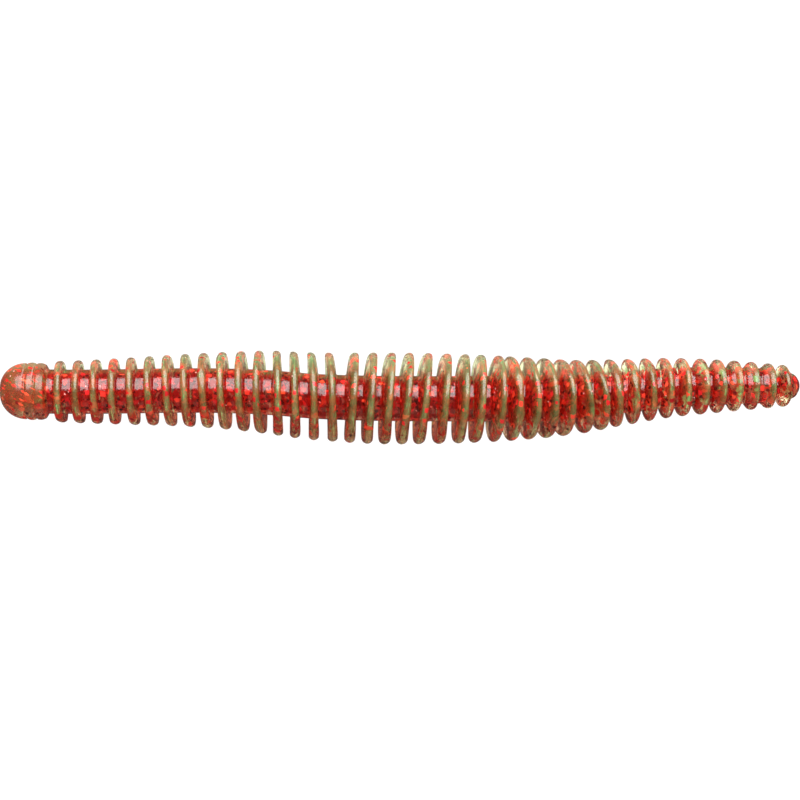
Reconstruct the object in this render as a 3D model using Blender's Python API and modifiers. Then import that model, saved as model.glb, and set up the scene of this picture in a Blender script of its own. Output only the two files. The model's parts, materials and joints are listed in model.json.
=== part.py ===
"""A ribbed soft plastic fishing worm, about 4 inches long, lying on its belly on a flat surface.

The real bait is one casting of soft plastic: a round head, a slim core with thin ribs all along it, a swollen
middle, a collar of close ribs, and a tapering tail. It bends in the thin neck between each pair of ribs, so it
is built here as one turned solid for the head, one for each rib with its share of the core, and one for the
tail tip. A narrow gap at the middle of every neck leaves each pair of neighbours room to bend.

Frame: +X runs from the head to the tail, +Z is up, and the origin is on the resting surface, under the middle of
the whole bait's box. Units are metres.
"""

import math

import bpy

MM = 0.001

# Driving dimensions
LENGTH = 101.6 * MM
FIRST_RIB = 7.75 * MM  # from the nose to the middle of the first rib
FRONT_PITCH = 2.30 * MM  # from rib to rib as far as the collar
REAR_PITCH = 2.155 * MM  # from rib to rib in the collar and the tail
FRONT_RIBS = 25  # ribs that stand at the front pitch
RIB_COUNT = 42  # the last one carries the tail tip
FIRST_COLLAR_RIB = 25
FIRST_TAIL_RIB = 33

# Radii in millimetres at shares of the length
RIB_RADIUS = [
    (0.00, 3.75),
    (0.08, 3.97),
    (0.19, 4.44),
    (0.26, 4.82),
    (0.34, 5.38),
    (0.40, 5.62),
    (0.49, 5.85),
    (0.60, 5.60),
    (0.68, 5.12),
    (0.74, 4.55),
    (0.81, 4.02),
    (0.90, 3.40),
    (0.98, 2.70),
]
CORE_RADIUS = [(0.00, 2.80), (0.55, 2.85), (0.68, 2.90), (0.80, 2.60), (0.88, 2.45), (0.98, 2.15)]

# The bait lies in a slight S: how far its middle line is to the +Y side, in millimetres
SWAY = [
    (0.00, 0.0),
    (0.10, -0.14),
    (0.25, 0.02),
    (0.33, -0.20),
    (0.40, -0.75),
    (0.50, -1.00),
    (0.70, -0.90),
    (0.78, -0.20),
    (0.84, 0.38),
    (0.92, 0.60),
    (1.00, 0.62),
]

# Ribs: thickness at the rim and at the core
BODY_RIM, BODY_ROOT = 1.00 * MM, 1.24 * MM
COLLAR_RIM, COLLAR_ROOT = 1.20 * MM, 1.36 * MM
TAIL_RIM, TAIL_ROOT = 1.05 * MM, 1.34 * MM

# Head: a dome with two flush bands behind it, parted by shallow grooves
HEAD_RADIUS = 3.60 * MM
NOSE_FLAT_RADIUS = 0.60 * MM  # the trimmed gate mark at the tip of the nose
DOME_LENGTH = 3.45 * MM
GROOVE_WIDTH, GROOVE_DEPTH = 0.30 * MM, 0.22 * MM
BAND_WIDTH = 0.90 * MM
DOME_RINGS = 6

# Tail tip: the last rib and a short dome behind it
TAIL_DOME_RADIUS = 1.75 * MM
TAIL_FLAT_RADIUS = 0.50 * MM
TAIL_DOME_RINGS = 4

# Joints: the gap between two neighbours at the middle of a neck, and how far a neck bends each way
JOINT_GAP = 0.30 * MM
BEND_DEG = 8.0
RELIEF = math.tan(math.radians(BEND_DEG / 2 + 0.6))  # slope of a neck's coned end

SIDES = 20
FACET_SHARE = math.cos(math.pi / SIDES)  # from a round's centre to its flat, as a share of its radius


def along(stations, share):
    """The value at a share of the length, on a smooth curve through (share, value) stations."""
    last = len(stations) - 1
    share = min(max(share, stations[0][0]), stations[last][0])
    i = next((n for n in range(last) if share <= stations[n + 1][0]), last - 1)

    def slope(n):
        before, after = stations[max(n - 1, 0)], stations[min(n + 1, last)]
        return (after[1] - before[1]) / (after[0] - before[0])

    (x0, y0), (x1, y1) = stations[i], stations[i + 1]
    width = x1 - x0
    t = (share - x0) / width
    rise = (2 * t**3 - 3 * t**2 + 1) * y0 + (3 * t**2 - 2 * t**3) * y1
    lean = (t**3 - 2 * t**2 + t) * slope(i) + (t**3 - t**2) * slope(i + 1)
    return rise + lean * width


def rib_place(number):
    """How far from the nose the middle of a rib is."""
    front = min(number, FRONT_RIBS) - 1
    rear = max(number - FRONT_RIBS, 0)
    return FIRST_RIB + front * FRONT_PITCH + rear * REAR_PITCH


def joint_place(number):
    """How far from the nose joint number is: joint 1 is between the head and rib 1."""
    if number == 1:
        return rib_place(1) - FRONT_PITCH / 2
    return (rib_place(number - 1) + rib_place(number)) / 2


def radius_at(place, stations):
    return along(stations, place / LENGTH) * MM


def outer_radius(number):
    """A section's outer radius. Section 0 is the head, and the rest are the ribs."""
    return HEAD_RADIUS if number == 0 else radius_at(rib_place(number), RIB_RADIUS)


def raw_sway(number):
    place = 0.0 if number == 0 else rib_place(number)
    return along(SWAY, place / LENGTH) * MM


def side_middle():
    """The middle, across the bait, of the box round every section."""
    reach = [(raw_sway(n), outer_radius(n) * FACET_SHARE) for n in range(RIB_COUNT + 1)]
    return (max(y + r for y, r in reach) + min(y - r for y, r in reach)) / 2


def section_centre(number):
    """Where a section's own origin is: on the bait's middle line, at the nose or at the middle of the rib."""
    place = 0.0 if number == 0 else rib_place(number)
    height = outer_radius(number) * FACET_SHARE
    return (place - LENGTH / 2, raw_sway(number) - side_middle(), height)


def joint_centre(number):
    """The middle of the neck that joins section number - 1 to section number."""
    before, after = section_centre(number - 1), section_centre(number)
    return (joint_place(number) - LENGTH / 2, (before[1] + after[1]) / 2, (before[2] + after[2]) / 2)


def section_name(number):
    if number == 0:
        return "head"
    if number == RIB_COUNT:
        return "tail_tip"
    zone = "body" if number < FIRST_COLLAR_RIB else "collar" if number < FIRST_TAIL_RIB else "tail"
    return f"{zone}_rib_{number:02d}"


def rib_thickness(number):
    """A rib's thickness at its rim and at the core."""
    if number < FIRST_COLLAR_RIB:
        return BODY_RIM, BODY_ROOT
    if number < FIRST_TAIL_RIB:
        return COLLAR_RIM, COLLAR_ROOT
    return TAIL_RIM, TAIL_ROOT


def neck_end(reach, core, towards_tail):
    """The coned end of a neck whose tip is reach away from the section's origin, from the axis outwards."""
    side = 1 if towards_tail else -1
    return [(0.0, side * reach), (core, side * (reach - core * RELIEF))]


def rib_profile(number):
    """Half of a rib's section as (radius, distance along the bait) points, from its tail end to its head end."""
    place = rib_place(number)
    radius, core = outer_radius(number), radius_at(place, CORE_RADIUS)
    rim, root = rib_thickness(number)
    ahead = place - joint_place(number) - JOINT_GAP / 2
    fin = [(core, root / 2), (radius, rim / 2), (radius, -rim / 2), (core, -root / 2)]
    if number == RIB_COUNT:
        rear = tail_dome(LENGTH - place, root / 2)
        return rear + fin[1:] + neck_end(ahead, core, False)[::-1]
    behind = joint_place(number + 1) - place - JOINT_GAP / 2
    return neck_end(behind, core, True) + fin + neck_end(ahead, core, False)[::-1]


def tail_dome(reach, root):
    """The rounded end behind the last rib, from a small flat at its tip to the rib's root."""
    points = [(0.0, reach), (TAIL_FLAT_RADIUS, reach)]
    for n in range(1, TAIL_DOME_RINGS + 1):
        turn = math.pi / 2 * n / TAIL_DOME_RINGS
        radius = TAIL_FLAT_RADIUS + (TAIL_DOME_RADIUS - TAIL_FLAT_RADIUS) * math.sin(turn)
        points.append((radius, root + (reach - root) * math.cos(turn)))
    return points


def head_profile():
    """Half of the head's section, from the neck behind it to the flat on its nose."""
    core = radius_at(FIRST_RIB, CORE_RADIUS)
    points = neck_end(joint_place(1) - JOINT_GAP / 2, core, True)
    edge = DOME_LENGTH + 2 * (GROOVE_WIDTH + BAND_WIDTH)
    points.append((core, edge))
    for _ in range(2):
        points += [
            (HEAD_RADIUS, edge),
            (HEAD_RADIUS, edge - BAND_WIDTH),
            (HEAD_RADIUS - GROOVE_DEPTH, edge - BAND_WIDTH - GROOVE_WIDTH / 2),
        ]
        edge -= BAND_WIDTH + GROOVE_WIDTH
    for n in range(DOME_RINGS, -1, -1):
        turn = math.pi / 2 * n / DOME_RINGS
        radius = NOSE_FLAT_RADIUS + (HEAD_RADIUS - NOSE_FLAT_RADIUS) * math.sin(turn)
        points.append((radius, DOME_LENGTH * (1 - math.cos(turn))))
    return points + [(0.0, 0.0)]


def turned(name, profile, centre, material, collection):
    """A turned solid about a line along X through centre, with a flat facing straight down."""
    half_side = math.pi / SIDES
    verts = [(r * math.cos(half_side), r * math.sin(half_side), along_axis) for r, along_axis in profile]
    mesh = bpy.data.meshes.new(name)
    mesh.from_pydata(verts, [(n, n + 1) for n in range(len(verts) - 1)], [])
    mesh.materials.append(material)
    solid = bpy.data.objects.new(name, mesh)
    solid.location = centre
    solid.rotation_euler = (0.0, math.pi / 2, 0.0)
    collection.objects.link(solid)
    screw = solid.modifiers.new("Turn", "SCREW")
    screw.axis = "Z"
    screw.steps = SIDES
    screw.render_steps = SIDES
    screw.use_merge_vertices = True
    screw.merge_threshold = 0.000001
    screw.use_smooth_shade = False
    return solid


def soft_plastic(name, colour):
    """Glossy soft plastic in one colour."""
    material = bpy.data.materials.new(name)
    material.use_nodes = True
    shader = material.node_tree.nodes["Principled BSDF"]
    shader.inputs["Base Color"].default_value = (*colour, 1.0)
    shader.inputs["Roughness"].default_value = 0.2
    shader.inputs["Metallic"].default_value = 0.0
    return material


def clear_scene():
    for item in list(bpy.data.objects):
        bpy.data.objects.remove(item)


def main():
    clear_scene()
    collection = bpy.data.collections.new("ribbed_worm")
    bpy.context.scene.collection.children.link(collection)
    materials = {
        "head": soft_plastic("head_plastic", (0.42, 0.14, 0.07)),
        "body": soft_plastic("body_plastic", (0.36, 0.12, 0.06)),
        "collar": soft_plastic("collar_plastic", (0.40, 0.11, 0.06)),
        "tail": soft_plastic("tail_plastic", (0.46, 0.15, 0.08)),
    }
    for number in range(RIB_COUNT + 1):
        name = section_name(number)
        profile = head_profile() if number == 0 else rib_profile(number)
        material = materials[name.split("_")[0]]
        turned(name, profile, section_centre(number), material, collection)


main()
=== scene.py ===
"""The looks of a ribbed soft plastic fishing worm: clear olive plastic with red glitter cast into it.

The worm is one skin, turned about a middle line that runs through the CAD sections. It is cut only where it
has to bend: each rib rides on its own body, each neck between two ribs is a piece of its own, and the glitter
flakes inside follow the same split.

Distances are in metres, and x runs from the head to the tail. The far side of the worm is its +Y side, and
the near side is its -Y side. A turn is an angle round the worm: 0 is the far side and a quarter turn is the
top.
"""
import json
import math

import bpy
import numpy as np
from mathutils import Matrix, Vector


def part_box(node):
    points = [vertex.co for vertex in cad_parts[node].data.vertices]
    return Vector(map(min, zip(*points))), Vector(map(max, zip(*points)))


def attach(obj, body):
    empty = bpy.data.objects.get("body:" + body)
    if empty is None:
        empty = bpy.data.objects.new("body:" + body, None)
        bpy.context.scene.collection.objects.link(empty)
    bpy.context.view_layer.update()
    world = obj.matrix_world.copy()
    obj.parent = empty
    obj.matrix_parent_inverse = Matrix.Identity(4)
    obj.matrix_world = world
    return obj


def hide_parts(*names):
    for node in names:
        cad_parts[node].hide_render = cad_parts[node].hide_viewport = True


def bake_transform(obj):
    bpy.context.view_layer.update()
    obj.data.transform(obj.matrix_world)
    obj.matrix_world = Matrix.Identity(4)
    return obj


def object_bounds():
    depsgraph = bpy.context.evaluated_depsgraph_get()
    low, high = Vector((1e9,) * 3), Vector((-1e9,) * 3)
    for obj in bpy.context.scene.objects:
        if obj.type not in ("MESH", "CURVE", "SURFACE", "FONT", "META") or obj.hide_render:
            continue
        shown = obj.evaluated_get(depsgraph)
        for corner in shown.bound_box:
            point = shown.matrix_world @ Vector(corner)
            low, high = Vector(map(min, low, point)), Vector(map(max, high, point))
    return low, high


MM = 0.001
SEED = 11

# Mesh
SIDES = 96  # points round the worm
RIM_STEPS = 5  # from the top of a rim to a face
FACE_STEPS = 5
FACE_BULGE = 0.12  # of the difference between the half thicknesses
FILLET_STEPS = 4
STRAIGHT = 0.03 * MM  # a straight strip at each end of a rib, so that its neck joins it without a crease
NECK_STEPS = 5
END_RADIUS = 0.01 * MM  # the last ring at a closed end

# Ribs, in millimetres: half the thickness at the rim and at the root, and the fillet's radius
RIB_SHAPES = {
    "body": (0.43, 0.52, 0.17),
    "collar": (0.36, 0.73, 0.12),
    "tail": (0.35, 0.81, 0.08),
}
# How much thicker a rib is at its far side and at its near side, along the mould's parting line
FAR_SWELL = 0.22
NEAR_SWELL = {"body": 0.62, "collar": 0.42, "tail": 0.32}
# How much of the near side's swell is lost at the rim, and where between the root and the rim that starts
NEAR_TAPER, TAPER_START = 0.8, 0.76
# How much thinner a rib's root is at its far side, by rib number
SLIM_ROOTS = {32: 0.30, 33: 0.45, 34: 0.45, 35: 0.40, 36: 0.20}

# How each stretch of ribs stands, at rib numbers: how far its top leans towards the tail and how far its far
# side does, in degrees, and how far the whole rim is pushed towards the tail, in millimetres
STANCES = [
    (1, 0.0, -2.0, 0.20),
    (4, 0.0, -1.5, 0.10),
    (5, 0.0, -4.0, 0.10),
    (7, -1.0, -4.5, 0.15),
    (9, -2.0, -4.0, 0.20),
    (11, -3.0, -2.5, 0.25),
    (12, -3.5, -1.5, 0.20),
    (13, 4.5, -1.3, -0.05),
    (14, 4.5, -1.0, -0.25),
    (16, 4.0, -2.5, -0.20),
    (17, 3.6, 3.2, 0.30),
    (19, 4.0, 4.5, 0.15),
    (21, 4.2, 6.0, 0.0),
    (22, 4.2, 5.5, 0.20),
    (23, 4.5, 4.5, 0.30),
    (24, 5.5, 4.2, -0.05),
    (25, 10.0, 3.2, -0.05),
    (26, 12.0, -0.5, -0.40),
    (28, 15.0, -1.5, -0.40),
    (29, 15.0, -2.0, -0.40),
    (30, 14.0, -7.0, -0.20),
    (31, 13.0, -7.5, -0.30),
    (32, 8.0, -6.0, -0.40),
    (34, 8.0, -4.5, -0.30),
    (36, 11.0, -1.7, -0.20),
    (37, 12.0, -0.2, 0.0),
    (39, 13.0, 0.3, 0.0),
    (41, 12.0, 0.2, 0.10),
    (42, 12.0, -1.0, -0.20),
]
# The lean of a rib's under side, as a share of its top's, at rib numbers, and how soft the change is
UNDER_LEANS = [
    (1, 0.9),
    (11, 0.9),
    (12, 0.5),
    (13, 0.5),
    (14, 0.9),
    (16, 0.9),
    (18, 2.0),
    (22, 2.0),
    (25, 0.9),
]
LEAN_SOFTNESS = 0.04

# The waves of a rib's rim: how far it goes to and fro, the numbers of waves round it, and their random sizes
WOBBLE = 0.10 * MM
WAVE_COUNTS = (2, 3, 5)
WAVE_SIZES = (0.4, 1.0)

# Lumps on the ribs: rib number, turn and half width in degrees, and how much thicker the rib is there
LUMPS = [
    (9, 70, 14, 0.35),
    (10, 35, 12, 0.30),
    (26, 62, 10, 0.70),
    (26, 112, 8, 0.60),
    (32, 60, 6, 0.55),
    (32, 76, 6, 0.50),
    (32, 92, 6, 0.55),
    (33, 25, 12, 0.40),
    (33, 66, 9, 0.60),
    (34, 30, 12, 0.40),
]

# Head: a dome and two bands, each behind a groove, then a slope down to the neck
DOME_LENGTH = 3.45 * MM
DOME_STEPS = 22
NOSE_FLAT = 0.5 * MM
NOSE_TRIM = 0.15 * MM  # the gate on the nose is cut this far back
GROOVE_HALF, GROOVE_DEPTH = 0.16 * MM, 0.20 * MM
BAND = 0.90 * MM
BAND_CROWN = 0.09 * MM
BAND_DROP = 0.10 * MM  # how much lower the second band's rear edge is
BANDS_END = DOME_LENGTH + 2 * BAND + 4 * GROOVE_HALF  # from the nose
SLOPE = 0.55 * MM
SLOPE_STEPS = 8

# Tail tip
TIP_RADIUS = 1.75 * MM
TIP_STEPS = 12
TIP_START = 0.42  # where the round end starts, as an angle in radians about its own middle
TIP_CENTRE = 0.18 * MM  # from the last rib's middle to the middle of the round end
TIP_BACK = 0.4 * MM  # from the last rib's middle to where the tip's own plastic starts
FLANK_STEPS = 6
FLANK_CURVE = 1.6  # how hollow the flank between the last rib's rim and the round end is

# Glitter flakes inside the plastic
FLAKE_ACROSS = 0.86 * MM  # across the flats of the largest
FLAKE_SIZES = (0.7, 1.0)
FLAKE_THICK = 0.03 * MM
FLAKES_PER_MM3 = 1.5
FLAKE_COVER = 0.07 * MM  # plastic over a flake
FEWER_OUTSIDE = 0.4  # the share of the flakes that is left out far outside the core
GLITTER_STOPS = [(0.0, (0.50, 0.008, 0.015)), (0.45, (0.90, 0.025, 0.035)), (1.0, (0.95, 0.10, 0.07))]
GLITTER_SHINE = {"Metallic": 0.3, "Roughness": 0.3}

# The plastic's colour, from the core to the rim of a rib, with clouds in it
PLASTIC_STOPS = [
    (0.21, (0.17, 0.018, 0.012)),
    (0.43, (0.23, 0.065, 0.028)),
    (0.62, (0.17, 0.160, 0.042)),
    (0.78, (0.17, 0.360, 0.110)),
    (0.87, (0.28, 0.560, 0.210)),
    (1.00, (0.66, 0.760, 0.440)),
]
STOPS_SCALE = 0.55  # from a rib's height, with its clouds, to a place on the stops
CLOUD_SCALE, CLOUD_DETAIL, CLOUD_STRENGTH = 480, 3, 0.9
# The tints of a rib's clear patches and of its dark one. The pale tint is painted light, shining through the
# plastic and reflected on it, and the red-brown one is painted shade on the near side
PATCH_LIGHT_AND_SHADE_TINTS = {"clear_lit_patch": (0.84, 0.90, 0.60), "painted_shade_patch": (0.50, 0.12, 0.06)}

# How late a rib turns from red to olive, and the share of that at its far side and at its near side. The far
# side's much earlier turn to olive is painted light falling on that side
HEIGHT_POWER = {"head": 1.0, "body": 1.9, "collar": 1.9, "tail": 1.2}
SIDE_POWER = {"head": (1.0, 1.0), "body": (0.35, 1.10), "collar": (0.30, 0.45), "tail": (0.30, 0.80)}
LAST_HEIGHT = 0.70  # the last rib's rim is no greener than this

# Where the colour changes. Each pair is where a change starts or ends and how wide it is. UP is from the root
# of a rib to its rim, FAR and NEAR are from the worm's middle to a side, and UNDER is from its middle down to
# its belly. Each single number is how much changes.
# Painted shade holds the near side redder; painted light lifts the far side, its belly and its edge to green
NEAR_PAINTED_SHADE, NEAR_SHADE_SPAN = 0.38, (0.60, 0.30)
FAR_PAINTED_LIGHT, FAR_LIGHT_SPAN = 0.36, (0.80, 0.15)
UNDER_OLIVE, UNDER_FAR_OLIVE = (0.0, 0.3), (0.1, 0.3)
FAR_EDGE_LIGHT, FAR_EDGE = 0.75, (0.72, 0.16)
# The clear patch's pale tint paints light on the far side's faces; the dark patch paints shade on the near side
CLEAR_UP, CLEAR_UP_END, CLEAR_FAR = (0.30, 0.25), (1.02, 0.12), (0.50, 0.40)
SHADE_UP, SHADE_UP_END, SHADE_NEAR = (0.05, 0.20), (1.10, 0.20), (0.45, 0.35)
# More clear patches, whose pale tint is painted light: light through the far tips and reflections on the near
# tips. Each has how clear, the side of the worm (1 is the far side), and the changes up a rib and towards that
# side
TIP_LIGHT_PATCHES = [(0.92, 1, (0.80, 0.10), (0.82, 0.12)), (0.85, -1, (0.86, 0.10), (0.88, 0.07))]
FIRST_CLOSE_RIB = 25  # from here on the ribs are close, and their near sides are lighter
# The close ribs' near sides get a weaker clear patch, with the pale tint of painted light, and less painted shade
CLOSE_LIGHT_PATCH = (0.45, -1, (0.35, 0.30), (0.55, 0.30))
CLOSE_SHADE = 0.4
# The core's near edge, a pale band that paints the table's reflection: how clear, how far up a rib it goes, and
# where it starts and ends
CORE_CLEAR_REFLECTION, CORE_UP, CORE_NEAR, CORE_NEAR_END = 0.55, 0.02, (0.84, 0.06), (0.99, 0.03)
# The head: its colour, between the core's and a rim's, how much greener its far side is, as painted light, and
# its clear sides, whose pale tint is painted light
HEAD_HEIGHT, HEAD_FAR_LIGHT = 0.49, 0.5
HEAD_NEAR_CLEAR, HEAD_NEAR = 0.35, (0.55, 0.35)
HEAD_FAR_CLEAR, HEAD_FAR = 0.30, (0.75, 0.20)
HEAD_OVER = 0.1 * MM  # how far behind the bands the head's own look goes

# How clear the plastic is: at the core, at a rim, on the head and on a clear patch
CORE_CLEARNESS, RIM_CLEARNESS = 0.90, 0.78
HEAD_CLEARNESS, FACE_CLEARNESS = 0.66, 0.92

# Glitter just under the surface, with painted shade and painted glints among it: cells for each metre, reach of a
# flake in its cell, how many times longer than wide it looks, share of the cells left out at the core, at the rim
# and on the head, and flake tints
FLAKE_LAYERS = [
    # Mostly dark flakes at the core: painted shade deep among the glitter, with some red ones
    (
        1500, 0.62, 1.6, (0.25, 1.0, 0.92),
        [(0.0, (0.05, 0.004, 0.003)), (0.5, (0.09, 0.006, 0.005)), (1.0, (0.50, 0.02, 0.02))],
    ),
    (
        900, 0.50, 1.6, (0.42, 0.50, 0.60),
        [(0.0, (0.30, 0.006, 0.008)), (0.4, (0.72, 0.020, 0.022)), (0.9, (0.86, 0.08, 0.035))],
    ),
    (
        800, 0.50, 2.6, (1.0, 1.0, 0.12),
        [(0.0, (0.55, 0.012, 0.012)), (0.4, (0.85, 0.040, 0.022)), (1.0, (0.95, 0.22, 0.08))],
    ),
    # Sparse red to pale pink specks: painted glints of flakes that catch the light
    (
        2100, 0.42, 1.6, (0.96, 0.99, 0.97),
        [(0.0, (0.70, 0.10, 0.11)), (1.0, (0.90, 0.50, 0.46))],
    ),
]
LAYER_HEIGHTS = (0.35, 0.80)  # the heights between which the core's share turns into the rim's
LAYER_FACE = 0.93  # the share left out on a clear patch
LAYER_EDGE = 0.05  # how soft a flake's edge is, in its cell
LAYER_DULLS = 0.8  # how much of the plastic's clearness a flake takes away
LAYER_TURNS = (1.0, 0.5, 0.3)  # times its cells for each metre, how far a layer is turned about each axis

# The plastic's surface
PLASTIC_SHINE = {"IOR": 1.5, "Coat Weight": 0.15, "Coat Roughness": 0.03}
ROUGHNESS = (0.03, 0.14)
RIM_ROUGHER, HEAD_ROUGHER = 0.15, 0.10
GRAIN_SCALE, GRAIN_DETAIL = 4200, 3
RIPPLE_SCALE, RIPPLE_DETAIL, RIPPLE_SHARE = 700, 2, 2.5
CORE_RELIEF, RIM_RELIEF, HEAD_RELIEF = 0.38, 0.14, 0.10
RELIEF_DEPTH = 0.06 * MM
SHADOW_TINT = (0.86, 0.61, 0.45)  # the light that the plastic lets through to the table

# The white table: its own colour, the glow it shows to each kind of ray, and what it shows to every ray
FLOOR_HALF = 3.0
FLOOR_COLOUR = (0.06, 0.055, 0.047)
FLOOR_GLOW = {"Is Camera Ray": 0.97, "Is Transmission Ray": 2.4, "Is Diffuse Ray": 0.30}
FLOOR_DIM = 0.04
FLOOR_ROUGHNESS = 0.9

# Lights that face the worm: name, place, width and height, radiance and colour
LIGHTS = [
    ("softbox", (0.0, 0.30, 0.36), (0.85, 0.52), 6.6, (1.0, 1.0, 1.0)),
    ("fill", (0.0, -0.55, 0.20), (0.8, 0.3), 0.5, (1.0, 0.74, 0.55)),
]
WORLD_COLOUR, WORLD_STRENGTH = (1.0, 0.94, 0.88), 0.12

# The camera looks straight down
CAMERA_DISTANCE = 0.292  # from a level in the worm
CAMERA_LEVEL = 4.4 * MM  # that level, above the table
CAMERA_Y = -0.32 * MM
CAMERA_FILL = 1.0045  # how many times the picture's width the worm is, at that level
SENSOR = 36

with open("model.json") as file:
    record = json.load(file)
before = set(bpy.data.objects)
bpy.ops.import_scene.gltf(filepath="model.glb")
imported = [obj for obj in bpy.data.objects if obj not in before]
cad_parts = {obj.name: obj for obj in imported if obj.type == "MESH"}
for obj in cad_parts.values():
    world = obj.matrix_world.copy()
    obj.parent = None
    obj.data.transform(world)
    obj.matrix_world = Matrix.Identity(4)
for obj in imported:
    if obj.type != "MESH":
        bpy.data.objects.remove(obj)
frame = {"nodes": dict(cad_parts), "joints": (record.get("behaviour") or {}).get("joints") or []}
cad_low, cad_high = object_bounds()
rng = np.random.default_rng(SEED)


# ---------------------------------------------------------------- the worm's shape, from the frame


def rise(value, start, width):
    """0 as far as start, and 1 from a width further on."""
    return np.clip((value - start) / width, 0, 1)


def fall(value, end, width):
    """1 until a width before end, and 0 from end on."""
    return np.clip((end - value) / width, 0, 1)


def read_sections():
    """Each section's name, number, middle, radii and tail end, in order from the head to the tail.

    A section's core is its smallest ring outside inner_share of its radius. At the tail tip that is a ring of its
    rounded end, so the last neck narrows towards it.
    """
    names = sorted(frame["nodes"], key=lambda name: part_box(name)[0].x)
    joints = sorted(joint["pos_m"][0] for joint in frame["joints"])
    pitch = joints[-1] - joints[-2]
    ends = [cad_low.x] + joints + [joints[-1] + pitch]
    inner_share = 0.35
    sections = []
    for number, name in enumerate(names):
        low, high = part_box(name)
        middle = cad_low.x if number == 0 else (ends[number] + ends[number + 1]) / 2
        points = np.array([v.co for v in frame["nodes"][name].data.vertices])
        radius = high.z / 2
        out = np.hypot(points[:, 1] - (low.y + high.y) / 2, points[:, 2] - radius)
        sections.append(
            {
                "name": name,
                "number": number,
                "x": middle,
                "y": (low.y + high.y) / 2,
                "z": radius,
                "radius": radius,
                "core": float(out[out > radius * inner_share].min()),
                "high": high.x,
            }
        )
    sections[0]["core"] = sections[1]["core"]
    return sections


SECTIONS = read_sections()
HEAD, LAST = 0, len(SECTIONS) - 1
STATION_X = np.array([s["x"] for s in SECTIONS])
MIDDLE_Y = np.array([s["y"] for s in SECTIONS])
MIDDLE_Z = np.array([s["z"] for s in SECTIONS])
CORE = np.array([s["core"] for s in SECTIONS])
TURNS = np.linspace(0, 2 * math.pi, SIDES, endpoint=False)


def smooth_through(x, values):
    """A smooth curve through one value for each section, read at x."""
    slopes = np.gradient(values, STATION_X)
    x = np.clip(x, STATION_X[0], STATION_X[-1])
    i = np.clip(np.searchsorted(STATION_X, x) - 1, 0, LAST - 1)
    width = STATION_X[i + 1] - STATION_X[i]
    t = (x - STATION_X[i]) / width
    height = (2 * t**3 - 3 * t**2 + 1) * values[i] + (3 * t**2 - 2 * t**3) * values[i + 1]
    lean = (t**3 - 2 * t**2 + t) * slopes[i] + (t**3 - t**2) * slopes[i + 1]
    return height + lean * width


def zone(section):
    """The stretch of the worm that a section is in: head, body, collar or tail."""
    return section["name"].split("_")[0]


def rib_shape(section):
    """Half thickness at the rim, half thickness at the root and fillet radius, in metres."""
    return tuple(size * MM for size in RIB_SHAPES[zone(section)])


def at_rib(rows, number, column):
    """A column of a table that starts with rib numbers, read at one rib."""
    return np.interp(number, [row[0] for row in rows], [row[column] for row in rows])


def rim_share(section, radius):
    """0 at a rib's root and 1 at its rim."""
    return np.clip((radius - section["core"]) / (section["radius"] - section["core"]), 0, 1.1)


def thickening(section, radius, turn):
    """How many times its plain thickness a rib has, round its rim."""
    across = np.cos(turn)
    share = rim_share(section, radius)
    near_swell = NEAR_SWELL[zone(section)] * (1 - NEAR_TAPER * rise(share, TAPER_START, 1 - TAPER_START) ** 2)
    around = 1 + np.where(across > 0, FAR_SWELL, near_swell) * across**2
    for number, place, width, size in LUMPS:
        if number == section["number"]:
            off = (np.degrees(turn) - place) / width
            around = around + size * np.exp(-(off**2))
    slim = SLIM_ROOTS.get(section["number"], 0) * np.clip(across, 0, 1) ** 2
    return 1 + share * (around - 1) - (1 - share) * slim


WAVES = [
    [(count, rng.uniform(*WAVE_SIZES) / count, rng.uniform(0, 2 * math.pi)) for count in WAVE_COUNTS]
    for _ in SECTIONS
]


def lean_shift(section, radius, turn):
    """How far along x a point of a rib is shifted by the rib's lean and its wavy rim."""
    number = section["number"]
    if number == HEAD:
        return np.zeros(np.broadcast(radius, turn).shape)
    share = rim_share(section, radius)
    top_lean, far_lean = (math.tan(math.radians(at_rib(STANCES, number, column))) for column in (1, 2))
    push = at_rib(STANCES, number, 3) * MM
    under = at_rib(UNDER_LEANS, number, 1)
    up = np.sin(turn)
    lift = (1 + under) / 2 * up + (1 - under) / 2 * np.sqrt(up**2 + LEAN_SOFTNESS)
    wave = sum(size * np.sin(count * turn + phase) for count, size, phase in WAVES[number])
    lean = share * section["radius"] * (top_lean * lift + far_lean * np.cos(turn))
    return lean + share**2 * (push + WOBBLE * wave)


def ring(section, x, radius):
    """The points of one ring of the skin. None is lower than the table."""
    shift = lean_shift(section, np.full(SIDES, radius), TURNS)
    if section["number"] != HEAD:
        shift = shift + (x - section["x"]) * (thickening(section, radius, TURNS) - 1)
    y = smooth_through(x, MIDDLE_Y) + radius * np.cos(TURNS)
    z = smooth_through(x, MIDDLE_Z) + radius * np.sin(TURNS)
    return np.stack([x + shift, y, np.maximum(z, 0.0)], axis=1)


def rib_half(section):
    """A rib's profile from its rim to the end of its fillet, as (distance from the rib's middle, radius)."""
    rim, root, fillet = rib_shape(section)
    core = section["core"]
    shoulder = section["radius"] - rim
    points = []
    for n in range(RIM_STEPS + 1):
        angle = math.pi / 2 * n / RIM_STEPS
        points.append((rim * math.sin(angle), shoulder + rim * math.cos(angle)))
    for n in range(1, FACE_STEPS):
        share = n / FACE_STEPS
        bulge = FACE_BULGE * (root - rim) * math.sin(math.pi * share)
        points.append((rim + (root - rim) * share + bulge, shoulder + (core + fillet - shoulder) * share))
    for n in range(FILLET_STEPS + 1):
        angle = math.pi / 2 * n / FILLET_STEPS
        points.append((root + fillet - fillet * math.cos(angle), core + fillet - fillet * math.sin(angle)))
    points.append((rib_end(section), core))
    return points


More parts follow.
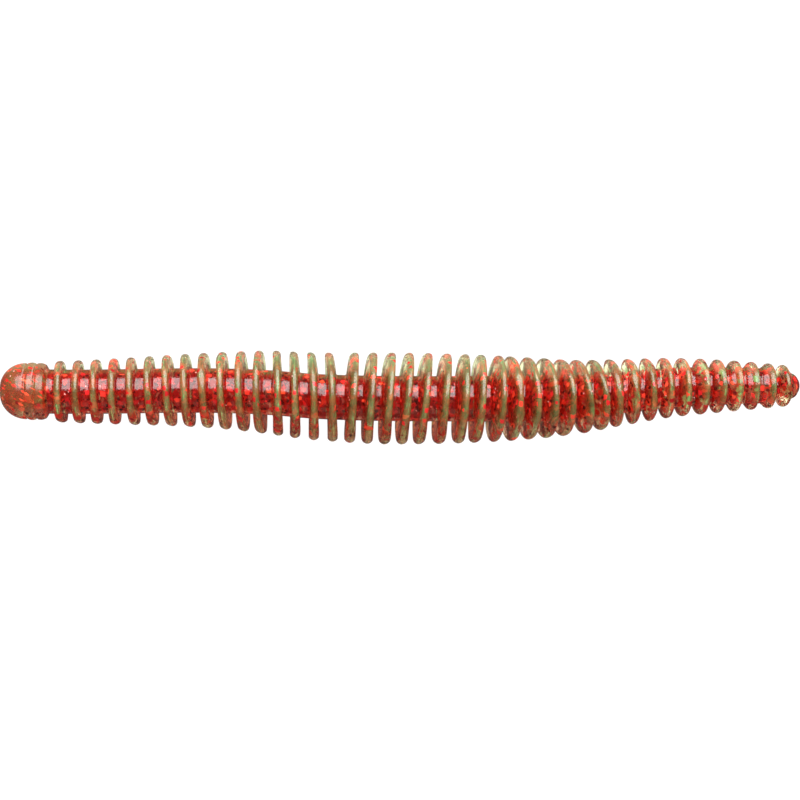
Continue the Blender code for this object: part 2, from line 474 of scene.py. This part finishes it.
def rib_end(section):
    """How far from its middle a rib's piece reaches along the neck."""
    _, root, fillet = rib_shape(section)
    return root + fillet + STRAIGHT


def rib_front(section):
    """A rib's profile from its head side to the top of its rim, as (x, radius)."""
    return [(section["x"] - off, radius) for off, radius in rib_half(section)[::-1]]


def rib_rear(section):
    """A rib's profile from behind the top of its rim to its tail side, as (x, radius)."""
    return [(section["x"] + off, radius) for off, radius in rib_half(section)[1:]]


def rib_profile(section):
    return rib_front(section) + rib_rear(section)


def head_profile(section):
    """The head's dome, its two bands and the end of its neck, as (x, radius)."""
    nose, radius = section["x"] + NOSE_TRIM, section["radius"]
    points = [(nose, END_RADIUS), (nose, NOSE_FLAT)]
    for n in range(1, DOME_STEPS + 1):
        angle = math.pi / 2 * n / DOME_STEPS
        along = (DOME_LENGTH - NOSE_TRIM) * (1 - math.cos(angle))
        points.append((nose + along, NOSE_FLAT + (radius - NOSE_FLAT) * math.sin(angle)))
    x = section["x"] + DOME_LENGTH
    for band in range(2):
        for share in (-1, -0.5, 0, 0.5, 1):
            depth = GROOVE_DEPTH * math.cos(math.pi / 2 * share) ** 2
            points.append((x + GROOVE_HALF * (1 + share), radius - depth))
        x += 2 * GROOVE_HALF
        for share in (0.25, 0.5, 0.75, 1):
            crown = BAND_CROWN * math.sin(math.pi * share)
            points.append((x + BAND * share, radius + crown - BAND_DROP * share * band))
        x += BAND
    core, last = section["core"], points[-1][1]
    for n in range(1, SLOPE_STEPS + 1):
        share = n / SLOPE_STEPS
        ease = share * share * (3 - 2 * share)
        points.append((x + SLOPE * share, last + (core - last) * ease))
    points.append((x + SLOPE + STRAIGHT, core))
    return points


def tail_profile(section):
    """The last rib and the rounded tip behind it, as (x, radius)."""
    rim_arc = rib_rear(section)[:RIM_STEPS]
    centre = section["x"] + TIP_CENTRE
    reach = section["high"] - centre
    tip = []
    for n in range(TIP_STEPS + 1):
        angle = TIP_START + (math.pi / 2 - TIP_START) * n / TIP_STEPS
        tip.append((centre + reach * math.sin(angle), max(TIP_RADIUS * math.cos(angle), END_RADIUS)))
    (x0, r0), (x1, r1) = rim_arc[-1], tip[0]
    flank = []
    for n in range(1, FLANK_STEPS):
        share = n / FLANK_STEPS
        flank.append((x0 + (x1 - x0) * share, r0 + (r1 - r0) * (1 - (1 - share) ** FLANK_CURVE)))
    return rib_front(section) + rim_arc + flank + tip


# ---------------------------------------------------------------- where the skin's colour changes


def olive_with_side_light(section, radius):
    """0 where a point of a ring is as red as the core and 1 where it is as green as a rim; its sides hold painted
    light and shade.
    """
    far, near = np.clip(np.cos(TURNS), 0, 1), np.clip(-np.cos(TURNS), 0, 1)
    # The far side turns olive much sooner, as painted light falling on it
    far_power, near_power = SIDE_POWER[zone(section)]
    power = 1 - (1 - far_power) * far**2 - (1 - near_power) * near**2
    share = np.clip(rim_share(section, radius), 0, 1)
    if section["number"] == LAST:
        share = share * LAST_HEIGHT
    olive = share ** (power * HEIGHT_POWER[zone(section)])
    # Painted light lifts the far side, its belly and its far edge towards green; painted shade holds the near
    # side redder
    under = rise(-np.sin(TURNS), *UNDER_OLIVE) * rise(far, *UNDER_FAR_OLIVE)
    far_light = FAR_PAINTED_LIGHT * np.maximum(rise(far, *FAR_LIGHT_SPAN), under)
    near_shade = NEAR_PAINTED_SHADE * rise(near, *NEAR_SHADE_SPAN)
    edge = rise(far, *FAR_EDGE)
    return np.maximum(olive * (1 - near_shade + far_light), FAR_EDGE_LIGHT * edge * edge * (3 - 2 * edge))


def clear_lit_and_shaded_patches(section, radius):
    """How far each point of a ring is in a clear patch with a pale tint of painted light, and how far it is in
    the near side's dark patch of painted shade.
    """
    share = float(np.clip(rim_share(section, radius), 0, 1))
    far = np.cos(TURNS)
    near = -far
    close = section["number"] >= FIRST_CLOSE_RIB
    # Painted light on the far side's faces
    clear = rise(share, *CLEAR_UP) * fall(share, *CLEAR_UP_END) * rise(far, *CLEAR_FAR)
    for strength, side, up, towards_side in TIP_LIGHT_PATCHES + [CLOSE_LIGHT_PATCH] * close:
        clear = np.maximum(clear, strength * rise(share, *up) * rise(side * far, *towards_side))
    # A pale band of painted reflection along the core's near edge
    core_edge_reflection = CORE_CLEAR_REFLECTION * (share < CORE_UP) * rise(near, *CORE_NEAR) * fall(near, *CORE_NEAR_END)
    # Painted shade on the near side
    dark = rise(share, *SHADE_UP) * fall(share, *SHADE_UP_END) * rise(near, *SHADE_NEAR)
    return np.maximum(clear, core_edge_reflection), dark * (CLOSE_SHADE if close else 1)


def head_shares():
    """For a ring of the head: how olive each point is, with its far side greener as painted light, and how far it
    is in a clear patch, whose pale tint is painted light, and in a dark patch.
    """
    far, near = np.clip(np.cos(TURNS), 0, 1), np.clip(-np.cos(TURNS), 0, 1)
    clear = HEAD_NEAR_CLEAR * rise(near, *HEAD_NEAR) + HEAD_FAR_CLEAR * rise(far, *HEAD_FAR)
    return HEAD_HEIGHT + HEAD_FAR_LIGHT * far**4, clear, np.zeros(SIDES)


# ---------------------------------------------------------------- materials


class Nodes:
    """The nodes of one new material. An input is given a number or a colour, or another node's output."""

    def __init__(self, name):
        self.material = bpy.data.materials.new(name)
        self.material.use_nodes = True
        self.tree = self.material.node_tree
        self.shader = self.tree.nodes["Principled BSDF"]

    def give(self, node, inputs):
        for key, value in inputs.items():
            if isinstance(value, bpy.types.NodeSocket):
                self.tree.links.new(value, node.inputs[key])
            else:
                node.inputs[key].default_value = value

    def make(self, kind, inputs, **settings):
        """The outputs of a new node."""
        node = self.tree.nodes.new(kind)
        for name, value in settings.items():
            setattr(node, name, value)
        self.give(node, inputs)
        return node.outputs

    def attribute(self, name, output="Fac"):
        return self.make("ShaderNodeAttribute", {}, attribute_name=name)[output]

    def maths(self, operation, *values):
        return self.make("ShaderNodeMath", dict(enumerate(values)), operation=operation)[0]

    def noise(self, place, scale, detail):
        return self.make("ShaderNodeTexNoise", {"Vector": place, "Scale": scale, "Detail": detail})["Fac"]

    def mixed(self, share, at_0, at_1, data_type="FLOAT"):
        """One value or colour where share is 0, another where it is 1, and a mixture between them."""
        inputs = {"Factor": share, "A": at_0, "B": at_1}
        return self.make("ShaderNodeMix", inputs, data_type=data_type)["Result"]

    def mapped(self, value, start, end, at_start, at_end):
        """at_start as far as value is start, at_end from end on, and straight between them."""
        inputs = {"Value": value, "From Min": start, "From Max": end, "To Min": at_start, "To Max": at_end}
        return self.make("ShaderNodeMapRange", inputs)["Result"]

    def ramp(self, value, stops):
        """A colour for a value, on a ramp of (position, colour) stops."""
        node = self.tree.nodes.new("ShaderNodeValToRGB")
        elements = node.color_ramp.elements
        while len(elements) < len(stops):
            elements.new(0.5)
        for element, (position, colour) in zip(elements, stops):
            element.position = position
            element.color = (*colour, 1)
        self.give(node, {"Fac": value})
        return node.outputs["Color"]


def flake_pattern(nodes, place, scale, reach, stretch, left_out):
    """Glitter that lies just under the surface: where it is, and a random number for each flake's tint."""
    angles = tuple(share * scale for share in LAYER_TURNS)
    turned = {"Vector": place, "Rotation": angles}
    turned = nodes.make("ShaderNodeVectorRotate", turned, rotation_type="EULER_XYZ")[0]
    squeezed = nodes.make("ShaderNodeVectorMath", {0: turned, 1: (1, stretch, 1)}, operation="MULTIPLY")[0]
    cells = nodes.make("ShaderNodeTexVoronoi", {"Vector": squeezed, "Scale": scale}, distance="MANHATTAN")
    flake = nodes.mapped(cells["Distance"], reach, reach - LAYER_EDGE, 0, 1)
    random = nodes.make("ShaderNodeSeparateColor", {"Color": cells["Color"]})
    chosen = nodes.maths("GREATER_THAN", random["Red"], left_out)
    return nodes.maths("MULTIPLY", flake, chosen), random["Green"]


def plastic_colour(nodes, place, height):
    """The colour of the plastic, with the patch tints of painted light and painted shade over it."""
    clouds = nodes.noise(place, CLOUD_SCALE, CLOUD_DETAIL)
    cloudy = nodes.maths("MULTIPLY_ADD", clouds, CLOUD_STRENGTH, height)
    colour = nodes.ramp(nodes.maths("MULTIPLY", cloudy, STOPS_SCALE), PLASTIC_STOPS)
    for attribute_name, tint in PATCH_LIGHT_AND_SHADE_TINTS.items():
        colour = nodes.mixed(nodes.attribute(attribute_name), colour, (*tint, 1), "RGBA")
    return colour


def flaked(nodes, place, height, head, clear_lit, colour, clearness):
    """The plastic's colour and clearness, with the glitter just under its surface, painted shade and glints among
    it.
    """
    for scale, reach, stretch, (at_core, at_rim, on_head), stops in FLAKE_LAYERS:
        left_out = nodes.mapped(height, *LAYER_HEIGHTS, at_core, at_rim)
        left_out = nodes.mixed(head, left_out, on_head)
        left_out = nodes.mixed(clear_lit, left_out, LAYER_FACE)
        there, tint = flake_pattern(nodes, place, scale, reach, stretch, left_out)
        colour = nodes.mixed(there, colour, nodes.ramp(tint, stops), "RGBA")
        clearness = nodes.maths("MULTIPLY", nodes.maths("MULTIPLY_ADD", there, -LAYER_DULLS, 1), clearness)
    return colour, clearness


def soft_plastic():
    """Clear olive plastic that reddens towards the core, with painted light on its far side and painted shade on
    its near side, and a fine skin that breaks up its shine.
    """
    nodes = Nodes("flaked_soft_plastic")
    place = nodes.attribute("rest_place", "Vector")
    height, head, clear_lit = (nodes.attribute(name) for name in ("rib_height_and_side_light", "head", "clear_lit_patch"))

    clearness = nodes.mapped(height, 0, 1, CORE_CLEARNESS, RIM_CLEARNESS)
    clearness = nodes.mixed(head, clearness, HEAD_CLEARNESS)
    clearness = nodes.mixed(clear_lit, clearness, FACE_CLEARNESS)
    colour = plastic_colour(nodes, place, height)
    colour, clearness = flaked(nodes, place, height, head, clear_lit, colour, clearness)

    grain = nodes.noise(place, GRAIN_SCALE, GRAIN_DETAIL)
    roughness = nodes.mixed(grain, *ROUGHNESS)
    roughness = nodes.maths("MULTIPLY_ADD", height, RIM_ROUGHER, roughness)
    roughness = nodes.maths("MULTIPLY_ADD", head, HEAD_ROUGHER, roughness)
    ripples = nodes.noise(place, RIPPLE_SCALE, RIPPLE_DETAIL)
    relief = nodes.mapped(height, 0, 1, CORE_RELIEF, RIM_RELIEF)
    bump = {
        "Height": nodes.maths("MULTIPLY_ADD", ripples, RIPPLE_SHARE, grain),
        "Strength": nodes.mixed(head, relief, HEAD_RELIEF),
        "Distance": RELIEF_DEPTH,
    }
    nodes.give(nodes.shader, PLASTIC_SHINE)
    nodes.give(
        nodes.shader,
        {
            "Base Color": colour,
            "Transmission Weight": clearness,
            "Roughness": roughness,
            "Normal": nodes.make("ShaderNodeBump", bump)["Normal"],
        },
    )

    in_shadow = nodes.make("ShaderNodeLightPath", {})["Is Shadow Ray"]
    see_through = nodes.make("ShaderNodeBsdfTransparent", {"Color": (*SHADOW_TINT, 1)})[0]
    surface = {"Fac": in_shadow, 1: nodes.shader.outputs[0], 2: see_through}
    surface = nodes.make("ShaderNodeMixShader", surface)[0]
    nodes.give(nodes.tree.nodes["Material Output"], {"Surface": surface})
    return nodes.material


def glitter():
    """Red and orange metallised film."""
    nodes = Nodes("red_glitter")
    nodes.give(nodes.shader, GLITTER_SHINE)
    nodes.give(nodes.shader, {"Base Color": nodes.ramp(nodes.attribute("tint"), GLITTER_STOPS)})
    return nodes.material


def white_floor():
    """A table that glows white towards the camera and is nearly dark in reflections."""
    nodes = Nodes("white_floor")
    kinds = nodes.make("ShaderNodeLightPath", {})
    glow = FLOOR_DIM
    for kind, strength in FLOOR_GLOW.items():
        glow = nodes.maths("MULTIPLY_ADD", kinds[kind], strength, glow)
    nodes.give(
        nodes.shader,
        {
            "Base Color": (*FLOOR_COLOUR, 1),
            "Roughness": FLOOR_ROUGHNESS,
            "Specular IOR Level": 0,
            "Emission Color": (1, 1, 1, 1),
            "Emission Strength": glow,
        },
    )
    return nodes.material


# ---------------------------------------------------------------- pieces


def new_object(name, points, faces, material):
    mesh = bpy.data.meshes.new(name)
    mesh.from_pydata([tuple(p) for p in points], [], faces)
    mesh.materials.append(material)
    piece = bpy.data.objects.new(name, mesh)
    bpy.context.scene.collection.objects.link(piece)
    return piece


def add_attribute(piece, name, values):
    """One number for each point of a piece."""
    attribute = piece.data.attributes.new(name, "FLOAT", "POINT")
    attribute.data.foreach_set("value", np.asarray(values, dtype=np.float32).ravel())


def skin(name, section, profile, material, close_start=False, close_end=False):
    """A turned stretch of the worm's skin, with open or closed ends."""
    rings = [ring(section, x, radius) for x, radius in profile]
    points = np.concatenate(rings)
    faces = []
    for base in range(0, len(points) - SIDES, SIDES):
        for n in range(SIDES):
            after = (n + 1) % SIDES
            faces.append((base + n, base + after, base + SIDES + after, base + SIDES + n))
    if close_start:
        faces.append(tuple(range(SIDES))[::-1])
    if close_end:
        faces.append(tuple(range(len(points) - SIDES, len(points))))
    piece = new_object(name, points, faces, material)
    piece.data.shade_smooth()
    place = piece.data.attributes.new("rest_place", "FLOAT_VECTOR", "POINT")
    place.data.foreach_set("vector", points.astype(np.float32).ravel())
    if name == "head_skin":
        shares = [head_shares()] * len(profile)
        on_head = [x <= section["x"] + BANDS_END + HEAD_OVER for x, _ in profile]
    else:
        shares = [(olive_with_side_light(section, radius), *clear_lit_and_shaded_patches(section, radius)) for _, radius in profile]
        on_head = [False] * len(profile)
    for attribute_name, values in zip(("rib_height_and_side_light", "clear_lit_patch", "painted_shade_patch"), zip(*shares)):
        add_attribute(piece, attribute_name, values)
    add_attribute(piece, "head", np.repeat(on_head, SIDES))
    return piece


def make_skin(material):
    """The skin of the head, each rib and the tail tip, and the neck behind each of them."""
    for section in SECTIONS:
        number, name = section["number"], section["name"]
        if number == HEAD:
            piece = skin("head_skin", section, head_profile(section), material, close_start=True)
            reach = head_profile(section)[-1][0]
        elif number == LAST:
            piece = skin("tail_tip_skin", section, tail_profile(section), material, close_end=True)
        else:
            piece = skin(f"{name}_skin", section, rib_profile(section), material)
            reach = section["x"] + rib_end(section)
        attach(piece, name)
        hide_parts(name)
        if number < LAST:
            after = SECTIONS[number + 1]
            end = after["x"] - rib_end(after)
            x = np.linspace(reach, end, NECK_STEPS + 1)
            core = np.linspace(section["core"], after["core"], NECK_STEPS + 1)
            plain = dict(section, number=HEAD)  # a neck doesn't lean or swell, and nor does the head
            neck = skin(f"neck_{number + 1:02d}", plain, list(zip(x, core)), material)
            section["rear_end"], after["front_end"] = reach, end
            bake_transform(neck)


def from_middle_line(points):
    """Each point's distance from the worm's middle line, and its turn about it."""
    y = points[..., 1] - smooth_through(points[..., 0], MIDDLE_Y)
    z = points[..., 2] - smooth_through(points[..., 0], MIDDLE_Z)
    return np.hypot(y, z), np.arctan2(z, y)


def room_in_rib(section, x, radius, turn):
    """Whether each point is FLAKE_COVER within a rib's two faces, and whether it is that far under its rim."""
    rim, root, _ = rib_shape(section)
    off = np.abs(x - section["x"] - lean_shift(section, radius, turn))
    share = np.clip((radius - section["core"]) / (section["radius"] - section["core"]), 0, 1)
    half = root + (rim - root) * share - FLAKE_COVER
    cap = section["radius"] - rim + np.sqrt(np.clip(rim**2 - off**2, 0, None)) - FLAKE_COVER
    return off < half, radius < cap


def inside(points):
    """True for each point that is inside the plastic, with FLAKE_COVER over it."""
    x = points[..., 0]
    radius, turn = from_middle_line(points)
    head, tail = SECTIONS[HEAD], SECTIONS[LAST]
    cut = NOSE_TRIM + FLAKE_COVER
    depth = rise(x - head["x"], cut, DOME_LENGTH - cut)
    dome = (head["radius"] - GROOVE_DEPTH - FLAKE_COVER) * np.sqrt(np.clip(1 - (1 - depth) ** 2, 0, 1))
    core = smooth_through(x, CORE) - FLAKE_COVER
    within = radius < np.where(x < head["x"] + BANDS_END, dome, core)
    for section in SECTIONS[1:]:
        between_faces, under_rim = room_in_rib(section, x, radius, turn)
        within |= between_faces & under_rim
    in_last_rib, _ = room_in_rib(tail, x, radius, turn)
    left = fall(x, tail["high"] - FLAKE_COVER, tail["high"] - tail["x"])
    tip = radius < (TIP_RADIUS - FLAKE_COVER) * np.sqrt(left)
    within &= (x <= tail["x"] + TIP_BACK) | tip | in_last_rib
    return within & (points[..., 2] > FLAKE_COVER)


def flake_corners(count):
    """Hexagonal flakes at random places and angles in the worm's box: the corners and middle of each."""
    low = np.array([cad_low.x, cad_low.y, 0.0])
    high = np.array([cad_high.x, cad_high.y, cad_high.z])
    middle = rng.uniform(low, high, (count, 3))
    normal = rng.normal(size=(count, 3))
    normal /= np.linalg.norm(normal, axis=1, keepdims=True)
    side = np.cross(normal, rng.normal(size=(count, 3)))
    side /= np.linalg.norm(side, axis=1, keepdims=True)
    third = np.cross(normal, side)
    size = FLAKE_ACROSS / math.sqrt(3) * rng.uniform(*FLAKE_SIZES, (count, 1, 1))
    angle = (np.arange(6) * math.pi / 3)[None, :, None]
    hexagon = size * (np.cos(angle) * side[:, None, :] + np.sin(angle) * third[:, None, :])
    lift = normal[:, None, :] * FLAKE_THICK / 2
    corners = middle[:, None, :] + np.concatenate([hexagon - lift, hexagon + lift], axis=1)
    return corners, middle


FLAKE_SIDES = [(n, (n + 1) % 6, 6 + (n + 1) % 6, 6 + n) for n in range(6)]
FLAKE_FACES = [tuple(range(5, -1, -1)), tuple(range(6, 12))] + FLAKE_SIDES


def own_place(x, radius, turn):
    """Where each flake is along x without its rib's lean: a flake in a rib goes to the rib's middle."""
    in_rib = (radius > smooth_through(x, CORE)) & (x > SECTIONS[HEAD]["rear_end"])
    off = np.array([np.abs(x - s["x"] - lean_shift(s, radius, turn)) for s in SECTIONS[1:]])
    return np.where(in_rib, STATION_X[1:][off.argmin(axis=0)], x)


def make_glitter(material):
    """The flakes inside the plastic, as one piece for each body and one for each neck."""
    box = (cad_high.x - cad_low.x) * (cad_high.y - cad_low.y) * cad_high.z / MM**3
    corners, middle = flake_corners(int(box * FLAKES_PER_MM3))
    x = middle[:, 0]
    radius, turn = from_middle_line(middle)
    out = np.clip(radius / smooth_through(x, CORE) - 1, 0, 1)
    kept = inside(corners).all(axis=1) & (rng.uniform(size=len(middle)) > FEWER_OUTSIDE * out)
    corners = corners[kept]
    place = own_place(x[kept], radius[kept], turn[kept])
    tints = rng.uniform(size=len(corners))

    def place_flakes(name, chosen):
        if not chosen.any():
            return None
        points = corners[chosen].reshape(-1, 3)
        faces = [tuple(12 * n + i for i in face) for n in range(int(chosen.sum())) for face in FLAKE_FACES]
        piece = new_object(name, points, faces, material)
        add_attribute(piece, "tint", np.repeat(tints[chosen], 12))
        return piece

    for section in SECTIONS:
        number, name = section["number"], section["name"]
        start = section.get("front_end", cad_low.x)
        end = section.get("rear_end", cad_high.x)
        rigid = place_flakes(f"{name}_glitter", (place >= start) & (place < end))
        if rigid:
            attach(rigid, name)
        if number < LAST:
            after = SECTIONS[number + 1]
            in_neck = (place >= end) & (place < after["front_end"])
            soft = place_flakes(f"neck_{number + 1:02d}_glitter", in_neck)
            if soft:
                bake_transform(soft)


# ---------------------------------------------------------------- stage, lights and camera


def make_stage():
    points = [(FLOOR_HALF * x, FLOOR_HALF * y, 0) for x, y in ((-1, -1), (1, -1), (1, 1), (-1, 1))]
    floor = new_object("floor", points, [(0, 1, 2, 3)], white_floor())


def make_lights():
    """The area lights, each turned to the worm, and a weak warm light from all round."""
    for name, place, (width, height), radiance, colour in LIGHTS:
        light = bpy.data.lights.new(name, "AREA")
        light.shape = "RECTANGLE"
        light.size, light.size_y = width, height
        light.energy = radiance * math.pi * width * height
        light.color = colour
        lamp = bpy.data.objects.new(name, light)
        lamp.location = place
        lamp.rotation_euler = (-Vector(place)).to_track_quat("-Z", "Y").to_euler()
        bpy.context.scene.collection.objects.link(lamp)
    world = bpy.data.worlds.new("studio")
    bpy.context.scene.world = world
    world.use_nodes = True
    background = world.node_tree.nodes["Background"]
    background.inputs["Color"].default_value = (*WORLD_COLOUR, 1)
    background.inputs["Strength"].default_value = WORLD_STRENGTH


def make_camera():
    width = cad_high.x - cad_low.x
    camera = bpy.data.cameras.new("camera")
    camera.sensor_width = SENSOR
    camera.lens = SENSOR * CAMERA_DISTANCE / width * CAMERA_FILL
    eye = bpy.data.objects.new("camera", camera)
    eye.location = (0.0, CAMERA_Y, CAMERA_DISTANCE + CAMERA_LEVEL)
    bpy.context.scene.collection.objects.link(eye)
    bpy.context.scene.camera = eye


make_camera()
make_stage()
make_lights()
make_skin(soft_plastic())
make_glitter(glitter())
bpy.context.scene.view_settings.view_transform = "Standard"
